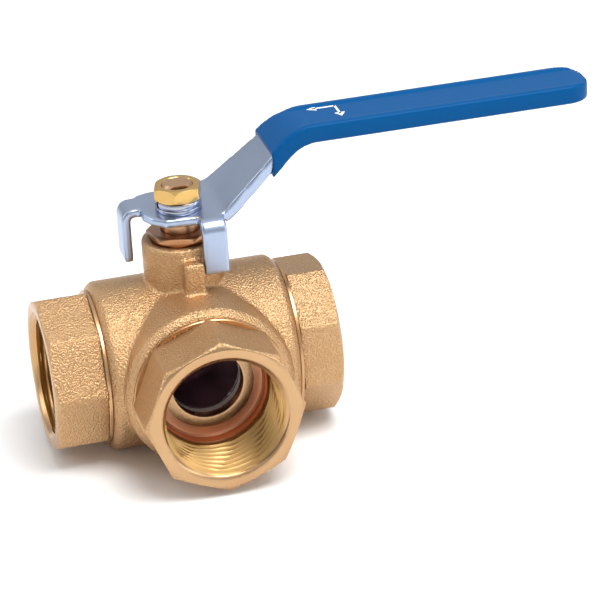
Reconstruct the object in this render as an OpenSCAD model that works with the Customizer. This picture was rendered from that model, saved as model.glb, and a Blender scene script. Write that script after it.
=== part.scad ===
// Three-way ball valve, brass, with three female pipe ports in one plane.
// X runs through the left and right ports, the front port looks along -Y and the stem stands
// up along Z. The origin is the point where the three port axes and the stem axis meet.

/* [Ports] */
// Distance from the centre to the left port's face
left_face = 40; // [36:0.1:60]
// Distance from the centre to the right port's face
right_face = 37.2; // [35:0.1:60]
// Distance from the centre to the front port's face
front_face = 42; // [36:0.1:60]
// Width across the flats of the port octagons
port_flats = 39; // [37.5:0.1:44]
// Bore of the socket, which is the minor diameter of its female pipe thread
thread_bore = 30.3; // [24:0.1:31.5]
// Diameter of the countersink at the port's mouth
mouth_d = 34; // [32:0.1:36]
// Depth of the countersink at the port's mouth
mouth_depth = 1.8; // [0.5:0.1:3]
// Turn of the left cap's octagon about its own axis
left_turn = 2.5; // [-22.5:0.5:22.5]
// Turn of the right cap's octagon about its own axis
right_turn = 16.5; // [-22.5:0.5:22.5]
// Turn of the front cap's octagon about its own axis
front_turn = 0; // [-22.5:0.5:22.5]

/* [Body] */
// Outer diameter of the three arms of the body
arm_d = 45; // [42:0.1:52]
// Distance from the centre to the end of each arm
arm_end = 25.2; // [24:0.1:30]
// Chamfer at the end of each arm
arm_chamfer = 1.6; // [0.3:0.1:2]
// Thread diameter of the caps in the arms
cap_thread_d = 38.1; // [37.2:0.1:39.5]
// Outer diameter of the stem neck
neck_d = 21; // [18:0.1:26]
// Height of the neck's top above the port axes
neck_top = 33.7; // [31:0.1:40]
// Width of the lug that stops the lever
lug_w = 5.4; // [4:0.1:8]
// Height of the stop lug's top above the port axes
lug_top = 31; // [28:0.1:33]
// Diameter of the round boss behind the body
back_boss_d = 30; // [20:0.5:36]

/* [Ball and seats] */
// Diameter of the ball
ball_d = 36; // [34.6:0.1:37]
// Bore through the ball and the caps
bore_d = 18.8; // [12:0.1:20]
// Gap between the ball and a seat ring, on the radius
seat_gap = 0.04; // [0.02:0.01:0.1]
// Distance from the centre to the floor of the threaded socket
socket_floor = 21; // [20:0.1:23]

/* [Stem] */
// Diameter of the stem where the packing seals it
stem_d = 10; // [8:0.1:11]
// Diameter of the collar at the stem's foot
collar_d = 14; // [12:0.1:15.5]
// Diameter of the stem's threaded top
stem_top_d = 8; // [6:0.1:8]
// Width across the two flats on the stem's top
stem_flats = 6; // [4:0.1:6.5]
// Height of the stem's top above the port axes
stem_top = 48.8; // [48.6:0.1:56]
// Width of the tang that turns the ball
tang_w = 6; // [4:0.1:7]
// Length of the tang that turns the ball
tang_l = 11.6; // [9:0.1:12]
// Width across the flats of the gland nut
gland_flats = 16; // [14.5:0.1:20]
// Height of the gland nut's hexagon
gland_h = 2; // [1.5:0.1:4]

/* [Lever] */
// Thickness of the lever's sheet metal
sheet = 2.4; // [1.5:0.1:3]
// Height of the plate's top face above the port axes
plate_top = 41.7; // [41:0.1:44]
// Distance from the stem to the tip of the lever's steel
lever_l = 109.8; // [80:0.1:200]
// Width of the lever's arm in the grip
arm_w = 14.4; // [11:0.1:16]
// Distance from the arm's middle line to its front edge at the plate
arm_front = 8.8; // [8:0.1:10]
// Distance from the arm's middle line to its back edge at the plate
arm_back = 15.4; // [10:0.1:16]
// Depth of the arm's two side flanges in the grip
flange_h = 3.2; // [2.8:0.1:5]
// Rise of the arm from the plate to the grip
arm_rise = 19.4; // [10:0.1:24]
// Slope of the arm between its two bends
arm_slope = 43; // [30:1:50]
// Radius of the bend where the arm leaves the plate, at its top face
root_bend_r = 5; // [3:0.5:7]
// Radius of the bend where the arm turns level again, at its top face
grip_bend_r = 14; // [8:0.5:16]
// Height of the lower end of the two stop prongs
prong_foot = 27; // [26:0.1:30]
// Wall thickness of the grip sleeve
grip_wall = 0.95; // [0.8:0.05:2]
// Width across the flats of the lever nut
nut_flats = 11.6; // [11:0.1:13]
// Height of the lever nut
nut_h = 3.8; // [3:0.1:3.9]
// Thickness of the flat washer
flat_t = 1.2; // [0.8:0.1:1.6]
// Thickness of the spring washer
spring_t = 1.7; // [1:0.1:2]

/* [Hidden] */
$fn = 96;

eps = 0.01;                       // overshoot of a cut past the face it opens
fit = 0.05;                       // radial clearance of a turning or sliding fit
thread_fit = 0.03;                // radial clearance between a thread's two plain cylinders
brass = "#c8963e";
bright_brass = "#d9b44a";
steel = "#b4bcc8";
vinyl = "#1f62a8";
white_plastic = "#eeeeea";
black_rubber = "#303030";

// --- places worked out from the sizes above ---
arm_r = arm_d / 2;
ball_r = ball_d / 2;
bore_r = bore_d / 2;
seat_r = ball_r * 11 / 15;         // keeps four rings around the ball clear of each other
chamber_r = ball_r + 0.4;         // chamber that the ball turns in
cap_thread_r = cap_thread_d / 2;
cap_bore_r = cap_thread_r + thread_fit;
seat_face = seat_r + 0.1;         // ring's ball side, far enough out to clear the next ring
seat_back = ball_r;               // ring's back, in the cap's pocket
cap_foot = seat_back - 1.4;       // inner end of each cap
cap_gap = 0.1;                    // air between the bevelled feet of neighbouring caps
flange_t = 1;                     // round flange between a cap's octagon and the arm
flange_r = port_flats / 2 + 1.1;  // stands out past the flats, inside the corners
rim_r = port_flats / 2 - 0.3;     // edge circle of the chamfered octagon
o_ring_t = 1.8;
o_ring_d = 22.4;                  // distance from the centre to the O-ring's middle
groove_r = cap_bore_r - o_ring_t - 0.02;

collar_foot = ball_r + 0.3;
collar_h = 2.7;
washer_foot = collar_foot + collar_h + fit;
washer_h = 1.2;
shoulder = washer_foot + washer_h;   // body's shoulder that keeps the stem in
packing_foot = shoulder + 2.6;
packing_h = 2;
packing_r = 7.6;
gland_foot = packing_foot + 2 * packing_h;
gland_seat = neck_top + 0.3;
nut_turn = 13;                    // turn of the lever nut, as it happens to be tightened
gland_turn = 40;                  // turn of the gland nut, as it happens to be tightened
slot_floor = ball_r - 4.4;

plate_foot = plate_top - sheet;
flat_top = plate_top + flat_t;
spring_top = flat_top + spring_t;
nut_top = spring_top + nut_h;
washer_r = 6.1;

prong_gap = 0.1;                  // air between a prong and the lug at either stop
side_prong_x = -12.4;             // inner face of the prong on the left
side_prong_y = lug_w / 2 - 0.2;   // its edge that meets the lug
side_prong_w = 8.4;
front_prong_y = -neck_d / 2 - 0.4;   // inner face of the prong in front
front_prong_x = 3.1;              // its edge that meets the lug
front_prong_w = 6.7;
prong_root = 2.5;                 // flat length of a prong before its bend ends
tip_corner = 5;                   // corner radius of the arm's tip
lug_x1 = front_prong_x - prong_gap;
lug_x0 = -side_prong_y + prong_gap;
lug_y = side_prong_x - sheet + 0.6;

bend_1 = 9.9;                     // where the plate turns up into the sloping arm
bend_2 = bend_1 + arm_rise / tan(arm_slope);
arm_top = plate_top + arm_rise;
root_slip = root_bend_r * tan(arm_slope / 2);   // from a bend's corner to where its arc ends
grip_slip = grip_bend_r * tan(arm_slope / 2);
grip_start = bend_2 - 7;
taper_end = bend_2;               // the arm has its width in the grip from here on
grip_end = lever_l + grip_wall + 0.7;

// Turns something that is modelled along +Z so that it lies along a port's axis.
module to_left() { rotate([0, -90, 0]) children(); }
module to_right() { rotate([0, 90, 0]) children(); }
module to_front() { rotate([90, 0, 0]) children(); }
module to_back() { rotate([-90, 0, 0]) children(); }

module tube(r_out, r_in, z0, z1) {
    translate([0, 0, z0]) difference() {
        cylinder(r = r_out, h = z1 - z0);
        translate([0, 0, -eps]) cylinder(r = r_in, h = z1 - z0 + 2 * eps);
    }
}

// A solid turned about Z from its outline, given as [radius, height] points.
module turned(points) { rotate_extrude() polygon(points); }

// One arm of the body, along +Z from the centre, with a chamfered end.
module arm_solid() {
    turned([[0, 0], [arm_r, 0], [arm_r, arm_end - arm_chamfer],
            [arm_r - arm_chamfer, arm_end], [0, arm_end]]);
}

// What is bored out of an arm for its cap.
module arm_bore() {
    cylinder(r = chamber_r, h = arm_end + 1);
    translate([0, 0, cap_foot - 0.5]) cylinder(r = cap_bore_r, h = arm_end);
}

module stop_lug() {
    translate([lug_x0, lug_y, lug_top - 9])
        cube([lug_x1 - lug_x0, -lug_y - neck_d / 4, 9]);
}

module body() {
    color(brass) difference() {
        union() {
            to_left() arm_solid();
            to_right() arm_solid();
            to_front() arm_solid();
            to_back() cylinder(d = back_boss_d, h = arm_r);
            cylinder(d = neck_d, h = neck_top);
            stop_lug();
        }
        to_left() arm_bore();
        to_right() arm_bore();
        to_front() arm_bore();
        sphere(r = chamber_r);
        // pocket of the seat ring behind the ball
        to_back() cylinder(r = seat_r + fit, h = seat_back);
        // stem bore, packing chamber
        cylinder(r = collar_d / 2 + fit, h = shoulder);
        cylinder(r = stem_d / 2 + fit, h = neck_top);
        translate([0, 0, packing_foot]) cylinder(r = packing_r, h = neck_top);
    }
}

// An octagon nut end, along +Z, with its outer corners turned off by a cone.
module octagon_end(foot, face, turn) {
    corner_r = port_flats / 2 / cos(22.5);
    intersection() {
        translate([0, 0, foot]) rotate(turn)
            cylinder(r = corner_r, h = face - foot, $fn = 8);
        turned([[0, foot], [corner_r + 1, foot],
                [corner_r + 1, face - (corner_r + 1 - rim_r) * tan(30)],
                [rim_r, face], [0, face]]);
    }
}

// A screwed cap with its pipe socket, along +Z.
module cap_along_z(face, turn) {
    difference() {
        union() {
            octagon_end(arm_end + flange_t - eps, face, turn);
            translate([0, 0, arm_end]) cylinder(r = flange_r, h = flange_t);
            turned([[0, cap_foot], [cap_foot - cap_gap, cap_foot],
                    [cap_thread_r, cap_thread_r + cap_gap],
                    [cap_thread_r, arm_end + eps], [0, arm_end + eps]]);
        }
        cylinder(r = bore_r, h = face);
        cylinder(r = seat_r + fit, h = seat_back);
        translate([0, 0, socket_floor]) cylinder(d = thread_bore, h = face);
        turned([[0, face - mouth_depth], [thread_bore / 2, face - mouth_depth],
                [mouth_d / 2, face], [mouth_d / 2, face + 1], [0, face + 1]]);
        tube(cap_thread_r + 1, groove_r, o_ring_d - 1.1, o_ring_d + 1.1);
    }
}

module left_cap() { color(brass) to_left() cap_along_z(left_face, left_turn); }
module right_cap() { color(brass) to_right() cap_along_z(right_face, right_turn); }
module front_cap() { color(brass) to_front() cap_along_z(front_face, front_turn); }

// The ball, with two bores at a right angle and a slot for the stem's tang.
module ball() {
    color("#8d9096") difference() {
        sphere(r = ball_r);
        sphere(r = bore_r);
        to_left() cylinder(r = bore_r, h = ball_r);
        to_front() cylinder(r = bore_r, h = ball_r);
        translate([-ball_r, -tang_w / 2 - fit, slot_floor])
            cube([2 * ball_r, tang_w + 2 * fit, ball_r]);
    }
}

module seat_along_z() {
    difference() {
        tube(seat_r, bore_r + 0.3, seat_face, seat_back);
        sphere(r = ball_r + seat_gap);
    }
}

module left_seat() { color(white_plastic) to_left() seat_along_z(); }
module right_seat() { color(white_plastic) to_right() seat_along_z(); }
module front_seat() { color(white_plastic) to_front() seat_along_z(); }
module back_seat() { color(white_plastic) to_back() seat_along_z(); }

module o_ring_along_z() {
    translate([0, 0, o_ring_d]) rotate_extrude()
        translate([groove_r + o_ring_t / 2 + 0.01, 0]) circle(d = o_ring_t, $fn = 48);
}

module left_cap_o_ring() { color(black_rubber) to_left() o_ring_along_z(); }
module right_cap_o_ring() { color(black_rubber) to_right() o_ring_along_z(); }
module front_cap_o_ring() { color(black_rubber) to_front() o_ring_along_z(); }

// The stem: tang, collar, sealing shank, then a threaded top with two flats.
module stem() {
    color(bright_brass) {
        intersection() {
            translate([-tang_l / 2, -tang_w / 2, slot_floor + fit])
                cube([tang_l, tang_w, collar_foot - slot_floor]);
            cylinder(r = collar_d / 2, h = stem_top);
        }
        translate([0, 0, collar_foot]) cylinder(d = collar_d, h = collar_h);
        translate([0, 0, collar_foot]) cylinder(d = stem_d, h = plate_foot - collar_foot);
        intersection() {
            translate([0, 0, collar_foot])
                turned([[0, 0], [stem_top_d / 2, 0],
                        [stem_top_d / 2, stem_top - collar_foot - 0.6],
                        [stem_top_d / 2 - 0.6, stem_top - collar_foot],
                        [0, stem_top - collar_foot]]);
            translate([-stem_d, -stem_flats / 2, 0]) cube([2 * stem_d, stem_flats, stem_top]);
        }
    }
}

module thrust_washer() {
    color(white_plastic) tube(collar_d / 2, stem_d / 2 + fit, washer_foot, shoulder);
}

module packing_ring(foot) {
    tube(packing_r - thread_fit, stem_d / 2 + fit, foot, foot + packing_h);
}

module lower_packing() { color(white_plastic) packing_ring(packing_foot); }
module upper_packing() { color(white_plastic) packing_ring(packing_foot + packing_h); }

// A hexagon with both its ends chamfered, along +Z.
module chamfered_hex(flats, foot, h, turn) {
    corner_r = flats / 2 / cos(30);
    cut = (corner_r - flats / 2 + 0.25) * tan(30);
    intersection() {
        translate([0, 0, foot]) rotate(turn) cylinder(r = corner_r, h = h, $fn = 6);
        turned([[0, foot], [flats / 2 - 0.25, foot], [corner_r, foot + cut],
                [corner_r, foot + h - cut], [flats / 2 - 0.25, foot + h], [0, foot + h]]);
    }
}

module gland_nut() {
    color(bright_brass) difference() {
        union() {
            chamfered_hex(gland_flats, gland_seat, gland_h, gland_turn);
            translate([0, 0, gland_foot])
                cylinder(r = packing_r - thread_fit, h = gland_seat - gland_foot + eps);
        }
        cylinder(r = stem_d / 2 + fit, h = stem_top);
    }
}

// Outline of the lever's plate around the stem, seen from above.
module plate_outline() {
    left = side_prong_x + prong_root;
    front = front_prong_y + prong_root;
    right = bend_1 - root_slip - 0.5;
    polygon([[front_prong_x, front], [-1.5, front + 0.4], [-5.2, -7.6], [-8.2, -4.6],
             [-9.9, -0.8], [left, side_prong_y], [left, side_prong_y + side_prong_w],
             [-9, 12.2], [-6.4, 13.2], [-2.8, 13.6],
             [right, arm_back], [right, front]]);
}

// A tongue along +X that bends down at its end, with its top face at Z = 0.
module bent_prong(reach, drop, w) {
    bend_r = 1;
    rotate([90, 0, 0]) translate([0, 0, -w / 2]) linear_extrude(w) {
        translate([-0.5, -sheet]) square([reach - sheet - bend_r + 0.5, sheet]);
        translate([reach - sheet - bend_r, -sheet - bend_r]) intersection() {
            difference() {
                circle(r = sheet + bend_r);
                circle(r = bend_r);
            }
            square(sheet + bend_r);
        }
        translate([reach - sheet, -drop]) square([sheet, drop - sheet - bend_r]);
    }
}

// Points on an arc about a centre, from angle a0 to a1.
function arc(centre, r, a0, a1) =
    [for (i = [0:8]) centre + r * [cos(a0 + (a1 - a0) * i / 8), sin(a0 + (a1 - a0) * i / 8)]];

// Line along the arm seen from the side, at a depth below its top face.
function arm_line(depth) = concat(
    [[bend_1 - root_slip - 1, plate_top - depth]],
    arc([bend_1 - root_slip, plate_top + root_bend_r], root_bend_r + depth, -90, arm_slope - 90),
    arc([bend_2 + grip_slip, arm_top - grip_bend_r], grip_bend_r - depth, arm_slope + 90, 90),
    [[grip_end, arm_top - depth]]);

function backwards(points) = [for (i = [len(points) - 1:-1:0]) points[i]];

// Side view of the arm between two depths and two distances from the stem.
module arm_side(upper, lower, x0, x1) {
    intersection() {
        polygon(concat(arm_line(upper), backwards(arm_line(lower))));
        translate([x0, 0]) square([x1 - x0, arm_top + 2 * grip_wall]);
    }
}

module across(y0, y1) {
    translate([0, y1, 0]) rotate([90, 0, 0]) linear_extrude(y1 - y0) children();
}

// Outline of the arm seen from above, with its sides moved out by grow.
module arm_plan(grow, tip, corner) {
    half = arm_w / 2 + grow;
    polygon([[bend_1 - root_slip - 1, -arm_front - grow], [taper_end, -half], [tip - corner, -half],
             [tip, -half + corner], [tip, half - corner], [tip - corner, half],
             [taper_end, half], [bend_1, arm_back + grow],
             [bend_1 - root_slip - 1, arm_back + grow]]);
    if (corner > 0)
        for (side = [-1, 1])
            translate([tip - corner, side * (half - corner)]) circle(r = corner);
}

// The sloping arm: a web with a flange down each side and round the tip.
module lever_arm() {
    x0 = bend_1 - root_slip - 1;
    difference() {
        intersection() {
            across(-arm_back - 1, arm_back + 1) arm_side(0, flange_h, x0, lever_l + 1);
            linear_extrude(arm_top + 1) arm_plan(0, lever_l, tip_corner);
        }
        intersection() {
            across(-arm_back - 2, arm_back + 2) arm_side(sheet, flange_h + 2, x0 - 1, lever_l + 1);
            linear_extrude(arm_top + 1) {
                arm_plan(-sheet, lever_l - sheet, tip_corner - sheet);
                translate([x0 - 1, -arm_back - 1]) square([bend_1 + 1.8 - x0, 2 * arm_back + 2]);
            }
        }
    }
}

module lever() {
    color(steel) difference() {
        union() {
            translate([0, 0, plate_foot]) linear_extrude(sheet) plate_outline();
            translate([side_prong_x + prong_root, side_prong_y + side_prong_w / 2, plate_top])
                rotate(180) bent_prong(prong_root + sheet, plate_top - prong_foot, side_prong_w);
            translate([front_prong_x + front_prong_w / 2, front_prong_y + prong_root, plate_top])
                rotate(-90) bent_prong(prong_root + sheet, plate_top - prong_foot, front_prong_w);
            lever_arm();
        }
        // hole with two flats for the stem
        intersection() {
            cylinder(r = stem_top_d / 2 + fit, h = plate_top + 1);
            translate([-stem_d, -stem_flats / 2 - fit, 0])
                cube([2 * stem_d, stem_flats + 2 * fit, plate_top + 1]);
        }
    }
}

// The sleeve's outline, or its inside, which is the arm with its channel filled.
module sleeve(grow, x0, x1, corner) {
    intersection() {
        across(-arm_back - grow, arm_back + grow)
            arm_side(-grow, flange_h + grow, x0, x1);
        linear_extrude(arm_top + 2 * grip_wall) arm_plan(grow, x1, corner);
    }
}

// Sleeve pushed over the lever's arm.
module grip() {
    color(vinyl) difference() {
        sleeve(grip_wall, grip_start, grip_end, tip_corner + grip_wall);
        sleeve(fit, grip_start - 1, lever_l + fit, tip_corner);
    }
}

module flat_washer() {
    color(steel) tube(washer_r, stem_top_d / 2 + 0.2, plate_top, flat_top);
}

// The split ring, squashed flat by the nut, with its slanted gap.
module spring_washer() {
    color(steel) difference() {
        tube(washer_r, stem_top_d / 2 + 0.15, flat_top, spring_top);
        rotate(200) translate([stem_top_d / 2 - 1, -0.6, flat_top - 1])
            rotate([20, 0, 0]) cube([washer_r, 0.9, spring_t + 3]);
    }
}

module lever_nut() {
    color(bright_brass) difference() {
        chamfered_hex(nut_flats, spring_top, nut_h, nut_turn);
        cylinder(r = stem_top_d / 2 + thread_fit, h = stem_top + nut_h);
    }
}

body();
left_cap();
right_cap();
front_cap();
ball();
left_seat();
right_seat();
front_seat();
back_seat();
left_cap_o_ring();
right_cap_o_ring();
front_cap_o_ring();
stem();
thrust_washer();
lower_packing();
upper_packing();
gland_nut();
lever();
grip();
flat_washer();
spring_washer();
lever_nut();
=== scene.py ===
# %% [markdown]
# # A three-way ball valve
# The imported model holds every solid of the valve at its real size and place. This script
# leaves those solids where they are, and builds the pieces that show a finer shape than the
# solids do: cut threads, forged skins, bent sheet metal and a dipped vinyl grip.

# %% Load the frame
import math

import bmesh
import bpy
from mathutils import Matrix, Vector


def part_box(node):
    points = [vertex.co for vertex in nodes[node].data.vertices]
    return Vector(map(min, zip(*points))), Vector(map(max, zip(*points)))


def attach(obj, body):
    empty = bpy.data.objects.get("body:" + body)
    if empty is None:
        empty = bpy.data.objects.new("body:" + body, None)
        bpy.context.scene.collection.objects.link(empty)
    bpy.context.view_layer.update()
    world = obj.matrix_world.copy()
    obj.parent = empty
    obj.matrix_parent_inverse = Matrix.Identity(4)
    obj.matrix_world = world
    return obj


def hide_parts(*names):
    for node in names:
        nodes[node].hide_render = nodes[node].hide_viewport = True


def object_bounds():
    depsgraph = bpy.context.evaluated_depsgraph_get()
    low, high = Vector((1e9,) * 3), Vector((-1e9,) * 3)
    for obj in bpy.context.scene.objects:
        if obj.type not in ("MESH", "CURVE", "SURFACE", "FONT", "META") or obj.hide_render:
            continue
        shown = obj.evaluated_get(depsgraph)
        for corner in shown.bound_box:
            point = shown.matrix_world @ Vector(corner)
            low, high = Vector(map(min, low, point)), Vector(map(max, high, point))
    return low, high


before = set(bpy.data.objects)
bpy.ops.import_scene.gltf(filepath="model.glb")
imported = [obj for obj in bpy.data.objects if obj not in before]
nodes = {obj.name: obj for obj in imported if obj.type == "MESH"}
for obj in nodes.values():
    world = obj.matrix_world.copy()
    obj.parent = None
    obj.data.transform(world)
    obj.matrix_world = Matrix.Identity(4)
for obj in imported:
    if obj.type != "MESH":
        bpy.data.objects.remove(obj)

cad_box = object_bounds()
MM = 0.001
print("nodes in the frame:", len(nodes))

# %% [markdown]
# ## Sizes
# Places come from the boxes of the solids. What a box can't tell, such as a thread's pitch or
# a socket's depth, is written as a number in millimetres.

# %% Sizes taken from the frame
def low(node):
    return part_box(node)[0] / MM


def high(node):
    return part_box(node)[1] / MM


LEFT_FACE = -low("left_cap").x
RIGHT_FACE = high("right_cap").x
FRONT_FACE = -low("front_cap").y
CAP_FOOT = low("right_cap").x
FLANGE_R = high("right_cap").z
SEAT_R = high("right_seat").z + 0.05
SEAT_BACK = high("right_seat").x
ARM_END = 25.2
PORT_FLATS = 39.0
MOUTH_R, MOUTH_DEPTH = 17.0, 1.8
SOCKET_FLOOR, THREAD_START = 21.0, 24.5
THREAD_MAJOR_R, THREAD_MINOR_R, THREAD_PITCH = 33.249 / 2, 30.291 / 2, 2.309
BORE_R = 9.4
CAP_THREAD_R = 19.05
GROOVE_R, GROOVE_IN, GROOVE_OUT = 17.27, 21.3, 23.5
SOCKET_R = 15.0
GRIP_WALL = 0.95
print("port faces at", round(LEFT_FACE, 2), round(RIGHT_FACE, 2), round(FRONT_FACE, 2), "mm")

# %% [markdown]
# ## Small helpers
# Blender's operators act on whatever is selected, so each helper first selects just the
# object that it works on.

# %% Selection and modifiers
def only(obj):
    if bpy.context.object and bpy.context.object.mode != "OBJECT":
        bpy.ops.object.mode_set(mode="OBJECT")
    bpy.ops.object.select_all(action="DESELECT")
    obj.select_set(True)
    bpy.context.view_layer.objects.active = obj
    return obj


def named(name):
    obj = bpy.context.object
    obj.name = obj.data.name = name
    return obj


def settle(obj):
    only(obj)
    bpy.ops.object.transform_apply(location=True, rotation=True, scale=True)
    return obj


def modified(obj, kind, **values):
    only(obj)
    modifier = obj.modifiers.new(kind, kind)
    for key, value in values.items():
        setattr(modifier, key, value)
    bpy.ops.object.modifier_apply(modifier=modifier.name)
    return obj


def cut(obj, tool):
    modified(obj, "BOOLEAN", object=tool, operation="DIFFERENCE", solver="EXACT")
    bpy.data.objects.remove(tool)
    return obj


def joined(first, *others):
    only(first)
    for other in others:
        other.select_set(True)
    bpy.ops.object.join()
    return first


def outward(obj, merge):
    only(obj)
    bpy.ops.object.mode_set(mode="EDIT")
    bpy.ops.mesh.select_all(action="SELECT")
    bpy.ops.mesh.remove_doubles(threshold=merge * MM)
    bpy.ops.mesh.normals_make_consistent(inside=False)
    bpy.ops.object.mode_set(mode="OBJECT")
    return obj


def smooth(obj, degrees=32):
    only(obj)
    bpy.ops.object.shade_smooth_by_angle(angle=math.radians(degrees))
    return obj


def finished(obj, body, slot, materials, *replaced):
    smooth(obj)
    finishes = [face.material_index for face in obj.data.polygons]
    obj.data.materials.clear()
    for material in materials:
        obj.data.materials.append(material)
    for face, finish in zip(obj.data.polygons, finishes):
        face.material_index = min(finish, len(materials) - 1)
    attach(obj, body)
    if replaced:
        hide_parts(*replaced)
    print(obj.name, len(obj.data.polygons), "faces")
    return obj


# %% [markdown]
# ## Turned and ribbed shapes, ring by ring
# Most of this valve is turned metal. A circle is added, its rim is extruded once for each
# ring of the outline, and every new ring is set to its radius and height. A ring's radius may
# change with the angle, which gives the octagon's flats and the thread's helix from the same
# few lines.

# %% Extrude a circle through a list of rings
def at_angles(columns, spread=None):
    angles = [2 * math.pi * i / columns for i in range(columns)]
    return [spread(a) for a in angles] if spread else angles


def place_ring(mesh_bm, verts, angles, radius, height):
    count = len(angles)
    for vert in verts:
        column = vert[mesh_bm.verts.layers.int["column"]]
        angle = angles[column % count]
        r, z = radius, height
        if callable(r):
            r = r(angle)
        if callable(z):
            z = z(angle)
        vert.co = Vector((r * math.cos(angle), r * math.sin(angle), z)) * MM


def ring_solid(name, rings, columns=96, spread=None):
    """rings holds (radius, height, finish) for each ring; the last ring closes on the first."""
    angles = at_angles(columns, spread)
    bpy.ops.object.select_all(action="DESELECT")
    bpy.ops.mesh.primitive_circle_add(vertices=columns, radius=MM)
    obj = named(name)
    bpy.ops.object.mode_set(mode="EDIT")
    mesh_bm = bmesh.from_edit_mesh(obj.data)
    layer = mesh_bm.verts.layers.int.new("column")
    mesh_bm.verts.ensure_lookup_table()
    for vert in mesh_bm.verts:
        turn = math.atan2(vert.co.y, vert.co.x) % (2 * math.pi)
        vert[layer] = round(turn / (2 * math.pi) * columns) % columns
    place_ring(mesh_bm, list(mesh_bm.verts), angles, rings[0][0], rings[0][1])
    bmesh.update_edit_mesh(obj.data)
    for radius, height, finish in rings[1:]:
        bpy.ops.mesh.extrude_region_move()
        mesh_bm = bmesh.from_edit_mesh(obj.data)
        fresh = [v for v in mesh_bm.verts if v.select]
        for vert in fresh:
            for face in vert.link_faces:
                face.material_index = finish
        place_ring(mesh_bm, fresh, angles, radius, height)
        bmesh.update_edit_mesh(obj.data)
    bpy.ops.mesh.select_mode(type="EDGE")
    bpy.ops.mesh.select_all(action="DESELECT")
    mesh_bm = bmesh.from_edit_mesh(obj.data)
    for edge in [e for e in mesh_bm.edges if e.is_boundary]:
        edge.select_set(True)
    bmesh.update_edit_mesh(obj.data)
    bpy.ops.mesh.bridge_edge_loops()
    bpy.ops.mesh.select_mode(type="VERT")
    bpy.ops.object.mode_set(mode="OBJECT")
    return outward(obj, 0.001)


# %% [markdown]
# ## Shader groups for the metals
# A shot-blasted forging is covered in tiny dents that catch the light, and every edge that is
# handled goes a little brighter. Each effect is one group, so that all the metals share it
# with their own values.

# %% Group helpers
def new_group(name, inputs, outputs):
    group = bpy.data.node_groups.new(name, "ShaderNodeTree")
    for label, kind, value in inputs:
        socket = group.interface.new_socket(label, in_out="INPUT", socket_type=kind)
        socket.default_value = value
    for label, kind in outputs:
        group.interface.new_socket(label, in_out="OUTPUT", socket_type=kind)
    tree = group.nodes
    return group, tree.new("NodeGroupInput"), tree.new("NodeGroupOutput")


def link(tree, a, b):
    tree.links.new(a, b)


def node(tree, kind, **values):
    made = tree.nodes.new(kind)
    for key, value in values.items():
        if key in made.bl_rna.properties:
            setattr(made, key, value)
        else:
            made.inputs[key.replace("_", " ")].default_value = value
    return made


def math_node(tree, operation, a, b):
    made = tree.nodes.new("ShaderNodeMath")
    made.operation = operation
    for socket, value in zip(made.inputs, (a, b)):
        if isinstance(value, (int, float)):
            socket.default_value = value
        else:
            link(tree, value, socket)
    return made.outputs[0]


# %% Grain group: the dents of shot blasting, or the skin of a moulding
def make_grain_group():
    group, ins, outs = new_group(
        "grain",
        [("Scale", "NodeSocketFloat", 1200.0), ("Strength", "NodeSocketFloat", 0.3),
         ("Depth", "NodeSocketFloat", 0.0001)],
        [("Normal", "NodeSocketVector"), ("Height", "NodeSocketFloat")])
    place = node(group, "ShaderNodeTexCoord")
    dents = node(group, "ShaderNodeTexNoise", Detail=3.0, Roughness=0.6)
    coarse = node(group, "ShaderNodeTexVoronoi", feature="SMOOTH_F1")
    link(group, place.outputs["Object"], dents.inputs["Vector"])
    link(group, place.outputs["Object"], coarse.inputs["Vector"])
    link(group, ins.outputs["Scale"], dents.inputs["Scale"])
    coarse_scale = math_node(group, "MULTIPLY", ins.outputs["Scale"], 0.9)
    link(group, coarse_scale, coarse.inputs["Scale"])
    height = math_node(group, "ADD", dents.outputs["Fac"], coarse.outputs["Distance"])
    bump = node(group, "ShaderNodeBump")
    link(group, ins.outputs["Strength"], bump.inputs["Strength"])
    link(group, ins.outputs["Depth"], bump.inputs["Distance"])
    link(group, height, bump.inputs["Height"])
    link(group, bump.outputs["Normal"], outs.inputs["Normal"])
    link(group, height, outs.inputs["Height"])
    return group


# %% Wear and shade group: where an edge is rubbed bright, and painted shade that darkens corners and recesses
def make_wear_and_shade_group():
    group, ins, outs = new_group(
        "edge_wear_and_shade",
        [("Width", "NodeSocketFloat", 0.0006), ("Amount", "NodeSocketFloat", 0.6)],
        [("Worn", "NodeSocketFloat"), ("Painted Shade", "NodeSocketFloat")])
    bevel = node(group, "ShaderNodeBevel", samples=4)
    flat = node(group, "ShaderNodeNewGeometry")
    place = node(group, "ShaderNodeTexCoord")
    patches = node(group, "ShaderNodeTexNoise", Scale=260.0, Detail=3.0)
    link(group, ins.outputs["Width"], bevel.inputs["Radius"])
    link(group, place.outputs["Object"], patches.inputs["Vector"])
    dot = group.nodes.new("ShaderNodeVectorMath")
    dot.operation = "DOT_PRODUCT"
    link(group, bevel.outputs["Normal"], dot.inputs[0])
    link(group, flat.outputs["Normal"], dot.inputs[1])
    away = math_node(group, "SUBTRACT", 1.0, dot.outputs["Value"])
    edge = node(group, "ShaderNodeMapRange")
    edge.inputs["From Max"].default_value = 0.12
    link(group, away, edge.inputs["Value"])
    broken = math_node(group, "MULTIPLY", edge.outputs["Result"], patches.outputs["Fac"])
    worn = math_node(group, "MULTIPLY", broken, ins.outputs["Amount"])
    link(group, worn, outs.inputs["Worn"])
    # Painted shade: ambient occlusion darkens corners, creases and recesses, where shade falls
    shade = node(group, "ShaderNodeAmbientOcclusion", samples=6)
    shade.inputs["Distance"].default_value = 0.004
    painted_shade = math_node(group, "SUBTRACT", 1.0, shade.outputs["AO"])
    link(group, painted_shade, outs.inputs["Painted Shade"])
    return group


grain_group = make_grain_group()
wear_and_shade_group = make_wear_and_shade_group()
print("shader groups:", grain_group.name, wear_and_shade_group.name)
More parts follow.
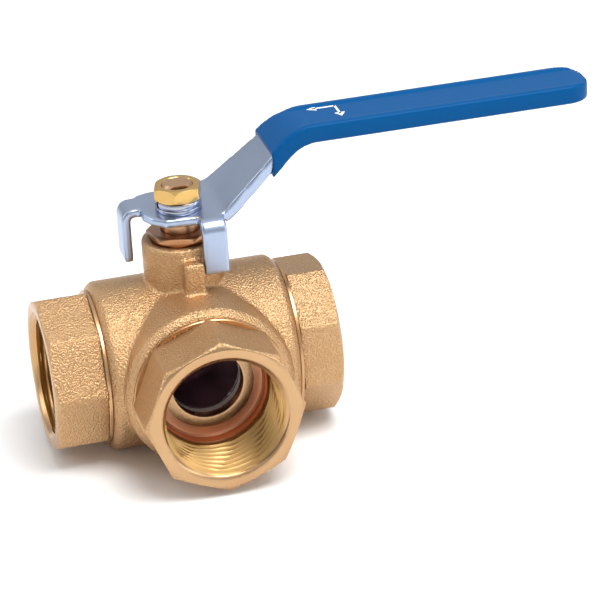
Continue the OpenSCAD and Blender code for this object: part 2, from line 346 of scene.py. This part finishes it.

# %% [markdown]
# ## One recipe for every metal
# A metal here is a base colour that drifts a little over the piece, a roughness that drifts
# with it, a grain in its normal, brighter worn edges and painted shade that darkens its corners.

# %% The metal recipe
def mix_colour(tree, factor, a, b):
    mix = tree.nodes.new("ShaderNodeMix")
    mix.data_type = "RGBA"
    for socket, value in ((mix.inputs["Factor"], factor), (mix.inputs[6], a), (mix.inputs[7], b)):
        if isinstance(value, (int, float, tuple)):
            socket.default_value = value
        else:
            link(tree, value, socket)
    return mix.outputs[2]


def metal(name, base, bright, dark, roughness, grain_scale, grain_strength,
          grain_depth=0.0001, wear=0.5, speckle=0.0):
    material = bpy.data.materials.new(name)
    material.use_nodes = True
    tree = material.node_tree
    shader = tree.nodes["Principled BSDF"]
    shader.inputs["Metallic"].default_value = 1.0
    place = node(tree, "ShaderNodeTexCoord")
    drift = node(tree, "ShaderNodeTexNoise", Scale=70.0, Detail=4.0, Roughness=0.55)
    link(tree, place.outputs["Object"], drift.inputs["Vector"])
    grain = tree.nodes.new("ShaderNodeGroup")
    grain.node_tree = grain_group
    grain.inputs["Scale"].default_value = grain_scale
    grain.inputs["Strength"].default_value = grain_strength
    grain.inputs["Depth"].default_value = grain_depth
    edges = tree.nodes.new("ShaderNodeGroup")
    edges.node_tree = wear_and_shade_group
    edges.inputs["Amount"].default_value = wear
    colour = mix_colour(tree, drift.outputs["Fac"], dark, base)
    if speckle:
        spots = node(tree, "ShaderNodeMapRange")
        spots.inputs["From Min"].default_value = 0.75
        spots.inputs["From Max"].default_value = 1.25
        link(tree, grain.outputs["Height"], spots.inputs["Value"])
        amount = math_node(tree, "MULTIPLY", spots.outputs["Result"], speckle)
        colour = mix_colour(tree, amount, colour, bright)
    colour = mix_colour(tree, edges.outputs["Worn"], colour, bright)
    # Painted shade: the occlusion mask pulls the colour towards the dark tone in corners and
    # recesses
    shadow = math_node(tree, "MULTIPLY", edges.outputs["Painted Shade"], 0.45)
    colour = mix_colour(tree, shadow, colour, dark)
    link(tree, colour, shader.inputs["Base Color"])
    span = node(tree, "ShaderNodeMapRange")
    span.inputs["To Min"].default_value = roughness - 0.06
    span.inputs["To Max"].default_value = roughness + 0.08
    link(tree, drift.outputs["Fac"], span.inputs["Value"])
    link(tree, span.outputs["Result"], shader.inputs["Roughness"])
    link(tree, grain.outputs["Normal"], shader.inputs["Normal"])
    return material


# %% The finishes of this valve
forged_brass = metal("forged_brass", (0.60, 0.37, 0.185, 1), (1.0, 0.80, 0.52, 1),
                     (0.46, 0.265, 0.125, 1), 0.36, 2300.0, 1.0, 0.00026, wear=0.2,
                     speckle=0.16)
smooth_brass = metal("smooth_brass", (0.60, 0.385, 0.205, 1), (1.0, 0.82, 0.54, 1),
                     (0.48, 0.28, 0.14, 1), 0.27, 900.0, 0.12, wear=0.15)
thread_brass = metal("thread_brass", (0.60, 0.37, 0.14, 1), (1.0, 0.82, 0.45, 1),
                     (0.46, 0.26, 0.09, 1), 0.36, 900.0, 0.06, wear=0.6)
socket_brass = metal("socket_brass", (0.88, 0.46, 0.26, 1), (0.95, 0.6, 0.36, 1),
                     (0.70, 0.32, 0.18, 1), 0.42, 900.0, 0.06)
stem_brass = metal("stem_brass", (0.66, 0.42, 0.24, 1), (0.9, 0.7, 0.5, 1),
                   (0.42, 0.24, 0.14, 1), 0.33, 1400.0, 0.12)
gland_brass = metal("gland_brass", (0.56, 0.30, 0.14, 1), (0.92, 0.66, 0.38, 1),
                    (0.32, 0.13, 0.06, 1), 0.28, 1400.0, 0.12)
ball_chrome = metal("ball_chrome", (0.34, 0.23, 0.26, 1), (0.85, 0.85, 0.9, 1),
                    (0.24, 0.16, 0.20, 1), 0.34, 900.0, 0.03, wear=0.8)
plated_steel = metal("plated_steel", (0.42, 0.50, 0.66, 1), (0.88, 0.91, 0.98, 1),
                     (0.35, 0.42, 0.57, 1), 0.30, 1100.0, 0.12, wear=0.35)
washer_steel = metal("washer_steel", (0.50, 0.52, 0.60, 1), (0.95, 0.95, 0.98, 1),
                     (0.32, 0.34, 0.42, 1), 0.2, 1100.0, 0.08)
yellow_zinc = metal("yellow_zinc", (0.68, 0.45, 0.17, 1), (1.0, 0.88, 0.52, 1),
                    (0.58, 0.34, 0.10, 1), 0.2, 1000.0, 0.08)
print("metals:", len([m for m in bpy.data.materials if m.use_nodes]))

# %% [markdown]
# ## Vinyl, fluoropolymer and rubber
# The grip is a sleeve of dipped vinyl: evenly coloured, with a soft gloss, a faint orange-peel
# skin and slightly paler rubbed edges. The seats and packings are waxy white fluoropolymer, and
# the O-rings are black rubber.

# %% The plastics recipe
def plastic(name, base, pale, roughness, grain_scale, grain_strength, specular, coat=0.0):
    material = bpy.data.materials.new(name)
    material.use_nodes = True
    tree = material.node_tree
    shader = tree.nodes["Principled BSDF"]
    shader.inputs["Specular IOR Level"].default_value = specular
    shader.inputs["Coat Weight"].default_value = coat
    shader.inputs["Coat Roughness"].default_value = 0.2
    place = node(tree, "ShaderNodeTexCoord")
    drift = node(tree, "ShaderNodeTexNoise", Scale=45.0, Detail=3.0)
    link(tree, place.outputs["Object"], drift.inputs["Vector"])
    grain = tree.nodes.new("ShaderNodeGroup")
    grain.node_tree = grain_group
    grain.inputs["Scale"].default_value = grain_scale
    grain.inputs["Strength"].default_value = grain_strength
    edges = tree.nodes.new("ShaderNodeGroup")
    edges.node_tree = wear_and_shade_group
    edges.inputs["Amount"].default_value = 0.35
    mottled = math_node(tree, "MULTIPLY", drift.outputs["Fac"], 0.25)
    colour = mix_colour(tree, mottled, base, pale)
    colour = mix_colour(tree, edges.outputs["Worn"], colour, pale)
    link(tree, colour, shader.inputs["Base Color"])
    span = node(tree, "ShaderNodeMapRange")
    span.inputs["To Min"].default_value = roughness - 0.05
    span.inputs["To Max"].default_value = roughness + 0.08
    link(tree, drift.outputs["Fac"], span.inputs["Value"])
    link(tree, span.outputs["Result"], shader.inputs["Roughness"])
    link(tree, grain.outputs["Normal"], shader.inputs["Normal"])
    return material


blue_vinyl = plastic("blue_vinyl", (0.0005, 0.070, 0.225, 1), (0.001, 0.085, 0.26, 1),
                     0.30, 500.0, 0.05, 0.07)
white_ink = plastic("white_ink", (0.80, 0.82, 0.85, 1), (0.9, 0.9, 0.9, 1), 0.5, 900.0, 0.05, 0.4)
seat_plastic = plastic("seat_plastic", (0.78, 0.78, 0.76, 1), (0.9, 0.9, 0.9, 1),
                       0.45, 900.0, 0.05, 0.4)
seal_rubber = plastic("seal_rubber", (0.012, 0.012, 0.013, 1), (0.04, 0.04, 0.04, 1),
                      0.5, 700.0, 0.1, 0.4)

# %% [markdown]
# ## Screwed caps
# Each cap is a forged octagon that is turned on the inside. Its skin keeps the shot-blasted
# grain, its face and its bore are cut smooth, and its pipe thread is a real helix: the radius of
# each ring in the socket rises and falls with the angle, one pitch a turn.

# %% Radius of an octagon or hexagon with rounded corners, at an angle
def polygon_radius(sides, flats, turn, corner):
    apothem = flats / 2
    half = math.pi / sides
    centre = (apothem - corner) / math.cos(half)
    tangent = math.atan((apothem - corner) * math.tan(half) / apothem)

    def radius(angle):
        delta = (angle - math.radians(turn)) % (2 * half) - half
        if abs(delta) <= tangent:
            return apothem / math.cos(delta)
        gamma = half - abs(delta)
        return centre * math.cos(gamma) + math.sqrt(corner ** 2 - (centre * math.sin(gamma)) ** 2)

    return radius


def crowded_corners(sides, turn):
    """Moves evenly spaced columns closer to a polygon's corners."""
    half = math.pi / sides

    def spread(angle):
        side, share = divmod(angle / (2 * half), 1)
        offset = 2 * share - 1
        eased = math.copysign(1 - (1 - abs(offset)) ** 1.5, offset)
        return math.radians(turn) + (2 * side + 1 + eased) * half

    return spread


# %% Radius of the pipe thread at an angle and height
def thread_radius(start, height, angle):
    phase = (height / THREAD_PITCH - angle / (2 * math.pi)) % 1
    ridge = 2 * abs(2 * phase - 1) - 1
    rounded = 0.7 * ridge + 0.3 * math.sin(ridge * math.pi / 2)
    fade = min(max((height - start) / THREAD_PITCH, 0), 1)
    depth = THREAD_MAJOR_R - THREAD_MINOR_R
    return THREAD_MINOR_R + depth * fade * (0.5 + 0.5 * rounded)


def countersink_radius(face, height):
    share = (height - face + MOUTH_DEPTH) / MOUTH_DEPTH
    return THREAD_MINOR_R + share * (MOUTH_R - THREAD_MINOR_R) if share > 0 else 0


def socket_ring(face, height):
    def radius(angle):
        return max(countersink_radius(face, height), thread_radius(THREAD_START, height, angle))

    return radius


# %% Build one cap along +Z, then turn it to its port
FORGED, SMOOTH, THREAD, SOCKET = range(4)
SOFT = 0.18


def cap_rings(face, turn):
    flats = polygon_radius(8, PORT_FLATS, turn, 1.1)
    rim = PORT_FLATS / 2 - 0.3
    slope = math.tan(math.radians(30))

    def chamfer_height(drop):
        return lambda angle: face - max(flats(angle) - rim, 0) * slope - drop

    rings = [(SEAT_R, CAP_FOOT, SMOOTH), (16.5, CAP_FOOT, SMOOTH),
             (CAP_THREAD_R, CAP_THREAD_R + 0.1, SMOOTH), (CAP_THREAD_R, GROOVE_IN, SMOOTH),
             (GROOVE_R, GROOVE_IN, SMOOTH), (GROOVE_R, GROOVE_OUT, SMOOTH),
             (CAP_THREAD_R, GROOVE_OUT, SMOOTH), (CAP_THREAD_R, ARM_END, SMOOTH),
             (FLANGE_R - SOFT, ARM_END, SMOOTH), (FLANGE_R, ARM_END + SOFT, SMOOTH),
             (FLANGE_R, ARM_END + 1 - SOFT, SMOOTH), (FLANGE_R - SOFT, ARM_END + 1, SMOOTH),
             (lambda a: min(flats(a), FLANGE_R) - 0.35, ARM_END + 1.0, SMOOTH),
             (lambda a: flats(a) - 0.12, ARM_END + 1.1, FORGED),
             (flats, ARM_END + 1.4, FORGED)]
    foot, top = ARM_END + 1.4, face - 1.6
    rings += [(flats, foot + (top - foot) * i / 6, FORGED) for i in range(1, 7)]
    rings += [(flats, chamfer_height(0.22), FORGED),
              (lambda a: flats(a) - 0.05, chamfer_height(0.03), FORGED),
              (lambda a: (flats(a) - 0.1 + rim) / 2 if flats(a) > rim + 0.3 else rim + 0.1,
               lambda a: face - max((flats(a) - rim) / 2, 0.06) * slope, FORGED),
              (rim, face - 0.03, SMOOTH), (rim - 0.25, face, SMOOTH),
              (MOUTH_R + 0.2, face, SMOOTH), (MOUTH_R, face - 0.12, SMOOTH)]
    rows = round((face - THREAD_START) / THREAD_PITCH * 9)
    step = (face - 0.3 - THREAD_START) / rows
    for row in range(rows + 1):
        height = face - 0.3 - row * step
        finish = SMOOTH if height > face - 1.1 else THREAD
        rings.append((socket_ring(face, height), height, finish))
    rings += [(SOCKET_R, THREAD_START - 0.2, SOCKET),
              (SOCKET_R, SOCKET_FLOOR + 1.4, SOCKET),
              (14.9, SOCKET_FLOOR + 0.6, SOCKET), (14.4, SOCKET_FLOOR + 0.12, SOCKET),
              (13.8, SOCKET_FLOOR, SOCKET), (12.2, SOCKET_FLOOR, SOCKET),
              (BORE_R + 0.5, SOCKET_FLOOR, SMOOTH),
              (BORE_R + 0.1, SOCKET_FLOOR - 0.1, SMOOTH), (BORE_R, SOCKET_FLOOR - 0.4, SOCKET),
              (BORE_R, SEAT_BACK, SMOOTH), (SEAT_R, SEAT_BACK, SMOOTH)]
    return rings


TO_PORT = {"left": Matrix.Rotation(-math.pi / 2, 4, "Y"),
           "right": Matrix.Rotation(math.pi / 2, 4, "Y"),
           "front": Matrix.Rotation(math.pi / 2, 4, "X")}
CAPS = {"left": (LEFT_FACE, 2.5), "right": (RIGHT_FACE, 16.5), "front": (FRONT_FACE, 0.0)}

for side, (face, turn) in CAPS.items():
    cap = ring_solid(side + "_port_cap", cap_rings(face, turn), 144, crowded_corners(8, turn))
    cap.data.transform(TO_PORT[side])
    finished(cap, "valve_body", "machined_brass",
             [forged_brass, smooth_brass, thread_brass, socket_brass], side + "_cap")
    smooth(cap, 50)

# %% [markdown]
# ## The forged body
# Forging leaves soft edges and small fillets where the arms run together. A copy of the body's
# solid is remeshed into even small faces and relaxed, which rounds its edges and leaves its
# flat walls flat.

# %% Relax a copy of a solid
def relaxed_copy(name, source, voxel, passes):
    copy = nodes[source].copy()
    copy.data = nodes[source].data.copy()
    bpy.context.scene.collection.objects.link(copy)
    copy.parent = None
    for key in list(copy.keys()):
        del copy[key]
    copy.name = copy.data.name = name
    outward(copy, 0.01)
    modified(copy, "REMESH", mode="VOXEL", voxel_size=voxel * MM)
    modified(copy, "SMOOTH", factor=0.5, iterations=passes)
    return copy


body = relaxed_copy("body_forging", "body", 0.45, 14)
finished(body, "valve_body", "cast_brass", [forged_brass], "body")
smooth(body, 60)

# %% [markdown]
# ## The lever
# The lever is pressed from one sheet, so every bend has a radius and no edge is sharp. The same
# relaxing gives the solid's straight corners the look of bent and tumbled sheet.

# %% The pressed lever
lever = relaxed_copy("pressed_lever", "lever", 0.34, 20)
finished(lever, "handle", "plated_steel", [plated_steel], "lever")
smooth(lever, 60)

# %% [markdown]
# ## The dipped grip
# Hot vinyl pulls in as it cools, so the flat top sinks between two rounded rims. The relaxed
# copy of the sleeve is dished by an amount that depends on the distance from the middle line.

# %% The vinyl sleeve
ARM_TOP = high("lever").z
DISH_DEPTH, DISH_START = 0.45, 31.5
GRIP_HALF, RIM_WIDTH = 8.1, 2.1


def dish(vert):
    inside = GRIP_HALF - RIM_WIDTH - abs(vert.co.y / MM)
    if vert.normal.z < 0.6 or inside < 0 or vert.co.z / MM < ARM_TOP:
        return 0
    along = min(max((vert.co.x / MM - DISH_START) / 4, 0), 1)
    return DISH_DEPTH * min(inside / 0.8, 1) * along


grip = relaxed_copy("vinyl_grip", "grip", 0.42, 24)
for vert in grip.data.vertices:
    vert.co.z -= dish(vert) * MM
finished(grip, "handle", "blue_vinyl", [blue_vinyl], "grip")
smooth(grip, 60)

# %% [markdown]
# ## The flow mark
# A printed L on the grip shows which two ports are joined: one arrow points past the stem at the
# side port that is open, and the other one points at the front port. It is a thin film of ink.

# %% Printed arrow
INK_THICK, HEAD_R = 0.1, 1.7
INK_TOP = ARM_TOP + GRIP_WALL - DISH_DEPTH + 0.03


def ink_bar(centre, size):
    bpy.ops.object.select_all(action="DESELECT")
    bpy.ops.mesh.primitive_cube_add(size=1)
    bar = named("ink_bar")
    bar.scale = (size[0] * MM, size[1] * MM, INK_THICK * MM)
    bar.location = (centre[0] * MM, centre[1] * MM, (INK_TOP - INK_THICK / 2) * MM)
    return settle(bar)


def ink_head(tip, heading):
    bpy.ops.object.select_all(action="DESELECT")
    bpy.ops.mesh.primitive_cylinder_add(vertices=3, radius=HEAD_R * MM, depth=INK_THICK * MM,
                                        rotation=(0, 0, math.radians(heading)))
    head = named("ink_head")
    back = Vector((math.cos(math.radians(heading + 90)), math.sin(math.radians(heading + 90)), 0))
    head.location = (Vector(tip) - HEAD_R * back) * MM
    head.location.z = (INK_TOP - INK_THICK / 2) * MM
    return settle(head)


joined(ink_bar((41.3, 4.3), (6.4, 0.75)), ink_bar((44.3, 1.5), (0.6, 6.3)),
       ink_head((36.6, 4.3, 0), 90), ink_head((44.3, -3.2, 0), 180))
flow_mark = named("flow_mark")
finished(flow_mark, "handle", "blue_vinyl", [white_ink])

# %% [markdown]
# ## Nuts and washers
# A nut is a hexagon with its corners turned off by a cone at both ends. It is built ring by ring
# like the caps, so the curved edge where the cone meets each flat lies on the mesh.

# %% Hexagon nuts
def hex_rings(flats, foot, top, bore):
    side = polygon_radius(6, flats, 0, 0.2)
    rim = flats / 2 - 0.1
    slope = math.tan(math.radians(30))

    def taper(up):
        end = top if up else foot
        return lambda a: end + (-1 if up else 1) * max(side(a) - rim, 0) * slope

    def inset(up, share):
        edge = taper(up)
        end = top if up else foot
        return (lambda a: rim + (side(a) - rim) * share,
                lambda a: end + (edge(a) - end) * share, 0)

    rings = [(bore, foot, 0), (rim - 0.15, foot, 0)]
    rings += [inset(False, s) for s in (0.05, 0.5, 0.94)]
    rings += [(side, lambda a: taper(False)(a) + 0.12, 0), (side, (foot + top) / 2, 0),
              (side, lambda a: taper(True)(a) - 0.12, 0)]
    rings += [inset(True, s) for s in (0.94, 0.5, 0.05)]
    rings += [(rim - 0.15, top, 0), (bore + 0.3, top, 0), (bore, top - 0.3, 0)]
    return rings


def hex_nut(name, source, flats, turn, bore, foot=None, extra=()):
    base = low(source).z if foot is None else foot
    rings = list(extra) + hex_rings(flats, base, high(source).z, bore)
    nut = ring_solid(name, rings, 120, crowded_corners(6, 0))
    nut.data.transform(Matrix.Rotation(math.radians(turn), 4, "Z"))
    return nut


lever_nut = hex_nut("zinc_lever_nut", "lever_nut", 11.6, 13, 4.03)
finished(lever_nut, "handle", "yellow_zinc", [yellow_zinc], "lever_nut")

gland_foot = low("gland_nut").z
gland_seat = 34.0
gland_r = 7.57
gland = hex_nut("gland_hex_nut", "gland_nut", 16.0, 40, 5.05, foot=gland_seat,
                extra=[(5.05, gland_foot, 0), (gland_r, gland_foot, 0),
                       (gland_r, gland_seat - 0.01, 0)])
finished(gland, "valve_body", "stem_brass", [gland_brass], "gland_nut")


# %% Washers with rolled edges
def ring_washer(name, source, inner, outer, edge):
    foot, top = low(source).z, high(source).z
    rings = [(inner, foot + edge, 0), (inner + edge, foot, 0), (outer - edge, foot, 0),
             (outer - edge * 0.3, foot + edge * 0.3, 0), (outer, foot + edge, 0),
             (outer, top - edge, 0), (outer - edge * 0.3, top - edge * 0.3, 0),
             (outer - edge, top, 0), (inner + edge, top, 0), (inner, top - edge, 0)]
    return ring_solid(name, rings, 96)


flat_washer = ring_washer("plain_washer", "flat_washer", 4.2, 6.1, 0.2)
finished(flat_washer, "handle", "plated_steel", [washer_steel], "flat_washer")

spring = ring_washer("split_washer", "spring_washer", 4.15, 6.1, 0.35)
bpy.ops.object.select_all(action="DESELECT")
bpy.ops.mesh.primitive_cube_add(size=1)
slit = named("slit")
slit.scale = (6 * MM, 0.9 * MM, 6 * MM)
slit.location = Vector((math.cos(math.radians(200)), math.sin(math.radians(200)), 0)) * 6 * MM
slit.location.z = low("spring_washer").z * MM
slit.rotation_euler = (math.radians(20), 0, math.radians(200))
settle(slit)
cut(spring, slit)
finished(spring, "handle", "plated_steel", [washer_steel], "spring_washer")

# %% [markdown]
# ## The ball
# The ball is polished and chromed, and its two bores meet at a right angle. Relaxing rounds
# their rims, and every point is then kept inside the ball's own radius, so that no part of the
# ball scrapes the seats.

# %% The chromed ball
BALL_R = high("ball").x
ball = relaxed_copy("chromed_ball", "ball", 0.4, 4)
for vert in ball.data.vertices:
    reach = vert.co.length / MM
    if reach > BALL_R - 0.01:
        vert.co *= (BALL_R - 0.01) / reach
finished(ball, "handle", "ball_chrome", [ball_chrome], "ball")
smooth(ball, 60)

# %% [markdown]
# ## Pieces that stay as the solids they are
# Seats, packings, O-rings, the thrust washer and the stem have their true shape already, so
# they only get their finish.

# %% Finish the solids that are carried over
CARRIED = {"left_seat": seat_plastic, "right_seat": seat_plastic, "front_seat": seat_plastic,
           "back_seat": seat_plastic, "thrust_washer": seat_plastic,
           "lower_packing": seat_plastic, "upper_packing": seat_plastic,
           "left_cap_o_ring": seal_rubber, "right_cap_o_ring": seal_rubber,
           "front_cap_o_ring": seal_rubber, "stem": stem_brass}
for name, material in CARRIED.items():
    nodes[name].data.materials.clear()
    nodes[name].data.materials.append(material)
    print("carried over:", name)

# %% [markdown]
# ## Studio
# A pale floor that runs far behind the valve, a soft sky that is brighter overhead, and three
# large soft lamps. The metals need something darker to reflect as well, so the sky falls off
# towards the horizon.

# %% Floor
floor_z = cad_box[0][2]
bpy.ops.object.select_all(action="DESELECT")
bpy.ops.mesh.primitive_plane_add(size=8, location=(0, 0, floor_z))
floor = named("studio_floor")
paper = bpy.data.materials.new("pale_paper")
paper.use_nodes = True
paper.node_tree.nodes["Principled BSDF"].inputs["Base Color"].default_value = (0.93, 0.93, 0.93, 1)
paper.node_tree.nodes["Principled BSDF"].inputs["Roughness"].default_value = 0.9
floor.data.materials.append(paper)

# %% Sky
world = bpy.data.worlds.new("studio")
bpy.context.scene.world = world
world.use_nodes = True
sky = world.node_tree
backdrop = sky.nodes["Background"]
direction = node(sky, "ShaderNodeTexCoord")
parts = sky.nodes.new("ShaderNodeSeparateXYZ")
fade = sky.nodes.new("ShaderNodeValToRGB")
fade.color_ramp.elements[0].position = 0.0
fade.color_ramp.elements[0].color = (0.56, 0.56, 0.57, 1)
fade.color_ramp.elements[1].position = 0.8
fade.color_ramp.elements[1].color = (1.0, 1.0, 1.0, 1)
link(sky, direction.outputs["Generated"], parts.inputs["Vector"])
link(sky, parts.outputs["Z"], fade.inputs["Fac"])
link(sky, fade.outputs["Color"], backdrop.inputs["Color"])
backdrop.inputs["Strength"].default_value = 0.85


# %% Lamps
def soft_lamp(name, place, size, power):
    data = bpy.data.lights.new(name, "AREA")
    data.shape = "RECTANGLE"
    data.size, data.size_y = size
    data.energy = power
    lamp = bpy.data.objects.new(name, data)
    bpy.context.scene.collection.objects.link(lamp)
    lamp.location = place
    facing = Vector((0.02, 0, 0.01)) - lamp.location
    lamp.rotation_euler = facing.to_track_quat("-Z", "Y").to_euler()
    return lamp


soft_lamp("overhead_lamp", (0.18, -0.32, 0.85), (0.55, 0.45), 7.5)
soft_lamp("left_lamp", (-0.9, 0.3, 0.5), (0.4, 0.6), 2)
soft_lamp("right_lamp", (0.8, -0.6, 0.35), (0.4, 0.6), 1.5)


# %% A dark card, so that the bent metal has something dark to reflect
bpy.ops.object.select_all(action="DESELECT")
bpy.ops.mesh.primitive_plane_add(size=0.34, location=(-0.42, -0.30, 0.37))
card = named("dark_card")
card.rotation_euler = card.location.to_track_quat("Z", "Y").to_euler()
card.visible_shadow = False
felt = bpy.data.materials.new("black_felt")
felt.use_nodes = True
felt.node_tree.nodes["Principled BSDF"].inputs["Base Color"].default_value = (0.01, 0.01, 0.01, 1)
felt.node_tree.nodes["Principled BSDF"].inputs["Roughness"].default_value = 1.0
card.data.materials.append(felt)

# %% [markdown]
# ## Camera
# A long lens a little above the valve and to its left, rolled by a few degrees.

# %% Camera
TARGET = Vector((30.83, 0, 9.68)) * MM
AZIMUTH, ELEVATION, ROLL = math.radians(-13.29), math.radians(24.91), math.radians(-3.52)
DISTANCE = 0.85
towards = Vector((math.sin(AZIMUTH) * math.cos(ELEVATION),
                  -math.cos(AZIMUTH) * math.cos(ELEVATION), math.sin(ELEVATION)))
view = bpy.data.cameras.new("camera")
view.sensor_width = 36
view.lens = 191.55
camera = bpy.data.objects.new("camera", view)
bpy.context.scene.collection.objects.link(camera)
turned = (-towards).to_track_quat("-Z", "Y").to_matrix().to_4x4()
camera.matrix_world = (Matrix.Translation(TARGET + DISTANCE * towards) @ turned
                       @ Matrix.Rotation(ROLL, 4, "Z"))
bpy.context.scene.camera = camera
bpy.context.scene.view_settings.view_transform = "Standard"
